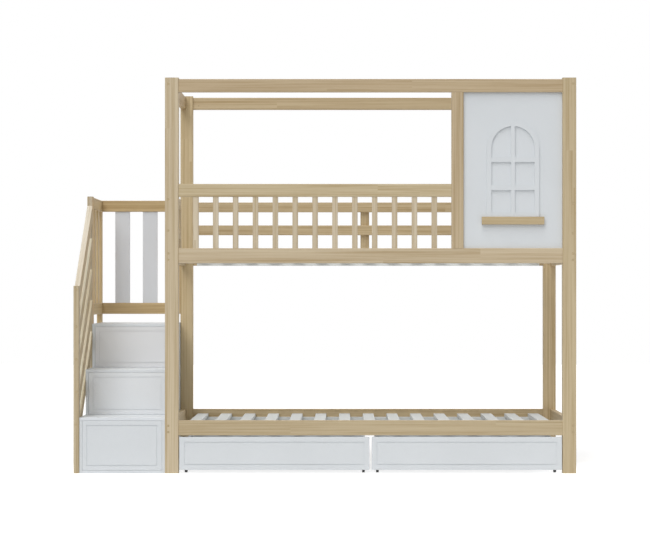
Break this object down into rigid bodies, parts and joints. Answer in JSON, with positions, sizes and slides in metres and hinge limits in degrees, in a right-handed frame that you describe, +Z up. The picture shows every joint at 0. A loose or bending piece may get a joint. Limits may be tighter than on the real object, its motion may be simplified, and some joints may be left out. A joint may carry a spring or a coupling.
{
  "type": "house bunk bed",
  "caption": "Bunk bed with a house-shaped frame, an arched window panel, slatted decks, a drawer staircase with a railed landing, and rolling drawers underneath.",
  "frame": {"origin": "centre of the footprint on the floor", "axes": "+X along the bed towards the window end, +Y from the front to the wall, +Z up"},
  "size_m": [2.54, 0.99, 2],
  "materials": {
    "natural_timber": "clear matt lacquer on finger-jointed pine",
    "white_paint": "white satin paint on board",
    "bolt_steel": "dark zinc",
    "castor_steel": "zinc-plated pressed steel",
    "wheel_plastic": "matt moulded"
  },
  "bodies": {
    "frame": {"front_left_post": "natural_timber", "front_right_post": "natural_timber", "rear_left_post": "natural_timber", "rear_right_post": "natural_timber", "front_roof_rail": "natural_timber", "rear_roof_rail": "natural_timber", "roof_end_rails": "natural_timber", "upper_front_rail": "natural_timber", "upper_rear_rail": "natural_timber", "upper_end_rails": "natural_timber", "lower_front_rail": "natural_timber", "lower_rear_rail": "natural_timber", "lower_end_rails": "natural_timber", "front_guard_rail": "natural_timber", "front_guard_balusters": "natural_timber", "end_guard_rails": "natural_timber", "rear_guard_rails": "natural_timber", "guard_stiles": "natural_timber", "window_stud": "natural_timber", "window_sill": "natural_timber", "stair_front_post": "natural_timber", "stair_middle_post": "natural_timber", "stair_rear_post": "natural_timber", "handrail": "natural_timber", "stair_guard_slats": "natural_timber", "landing_side_rails": "natural_timber", "landing_side_slats": "natural_timber", "landing_rear_rails": "natural_timber", "landing_rear_stile": "natural_timber", "slat_ledgers": "white_paint", "upper_slats": "white_paint", "lower_slats": "white_paint", "window_panel": "white_paint", "window_frame": "white_paint", "landing_rear_slats": "white_paint", "stair_base": "white_paint", "stair_box_sides": "white_paint", "stair_box_backs": "white_paint", "lower_tread": "white_paint", "middle_tread": "white_paint", "landing_tread": "white_paint", "drawer_runners": "white_paint", "frame_bolts": "bolt_steel", "barrel_nuts": "bolt_steel"},
    "lower_step_drawer": {"lower_step_front": "white_paint", "lower_step_box": "white_paint"},
    "middle_step_drawer": {"middle_step_front": "white_paint", "middle_step_box": "white_paint"},
    "upper_step_drawer": {"upper_step_front": "white_paint", "upper_step_box": "white_paint"},
    "left_drawer": {"left_drawer_front": "white_paint", "left_drawer_box": "white_paint", "left_drawer_castors": "castor_steel"},
    "right_drawer": {"right_drawer_front": "white_paint", "right_drawer_box": "white_paint", "right_drawer_castors": "castor_steel"},
    "left_front_wheels": {"left_drawer_front_wheels": "wheel_plastic"},
    "left_rear_wheels": {"left_drawer_rear_wheels": "wheel_plastic"},
    "right_front_wheels": {"right_drawer_front_wheels": "wheel_plastic"},
    "right_rear_wheels": {"right_drawer_rear_wheels": "wheel_plastic"}
  },
  "joints": [
    {"name": "lower_step_drawer_slide", "type": "slide", "parent": "frame", "child": "lower_step_drawer", "axis": [0, -1, 0], "range_m": [0, 0.3]},
    {"name": "middle_step_drawer_slide", "type": "slide", "parent": "frame", "child": "middle_step_drawer", "axis": [0, -1, 0], "range_m": [0, 0.3]},
    {"name": "upper_step_drawer_slide", "type": "slide", "parent": "frame", "child": "upper_step_drawer", "axis": [0, -1, 0], "range_m": [0, 0.3]},
    {"name": "left_drawer_roll", "type": "slide", "parent": "frame", "child": "left_drawer", "axis": [0, -1, 0], "range_m": [0, 0.42]},
    {"name": "left_front_wheel_spin", "type": "hinge", "parent": "left_drawer", "child": "left_front_wheels", "pos_m": [-0.255, -0.431, 0.019], "axis": [1, 0, 0], "continuous": true},
    {"name": "left_rear_wheel_spin", "type": "hinge", "parent": "left_drawer", "child": "left_rear_wheels", "pos_m": [-0.255, -0.106, 0.019], "axis": [1, 0, 0], "continuous": true},
    {"name": "right_drawer_roll", "type": "slide", "parent": "frame", "child": "right_drawer", "axis": [0, -1, 0], "range_m": [0, 0.42]},
    {"name": "right_front_wheel_spin", "type": "hinge", "parent": "right_drawer", "child": "right_front_wheels", "pos_m": [0.717, -0.431, 0.019], "axis": [1, 0, 0], "continuous": true},
    {"name": "right_rear_wheel_spin", "type": "hinge", "parent": "right_drawer", "child": "right_rear_wheels", "pos_m": [0.717, -0.106, 0.019], "axis": [1, 0, 0], "continuous": true}
  ],
  "couplings": [
    {"joint": "left_front_wheel_spin", "follows": "left_drawer_roll", "rad_per_m": 52.632},
    {"joint": "left_rear_wheel_spin", "follows": "left_drawer_roll", "rad_per_m": 52.632},
    {"joint": "right_front_wheel_spin", "follows": "right_drawer_roll", "rad_per_m": 52.632},
    {"joint": "right_rear_wheel_spin", "follows": "right_drawer_roll", "rad_per_m": 52.632}
  ]
}
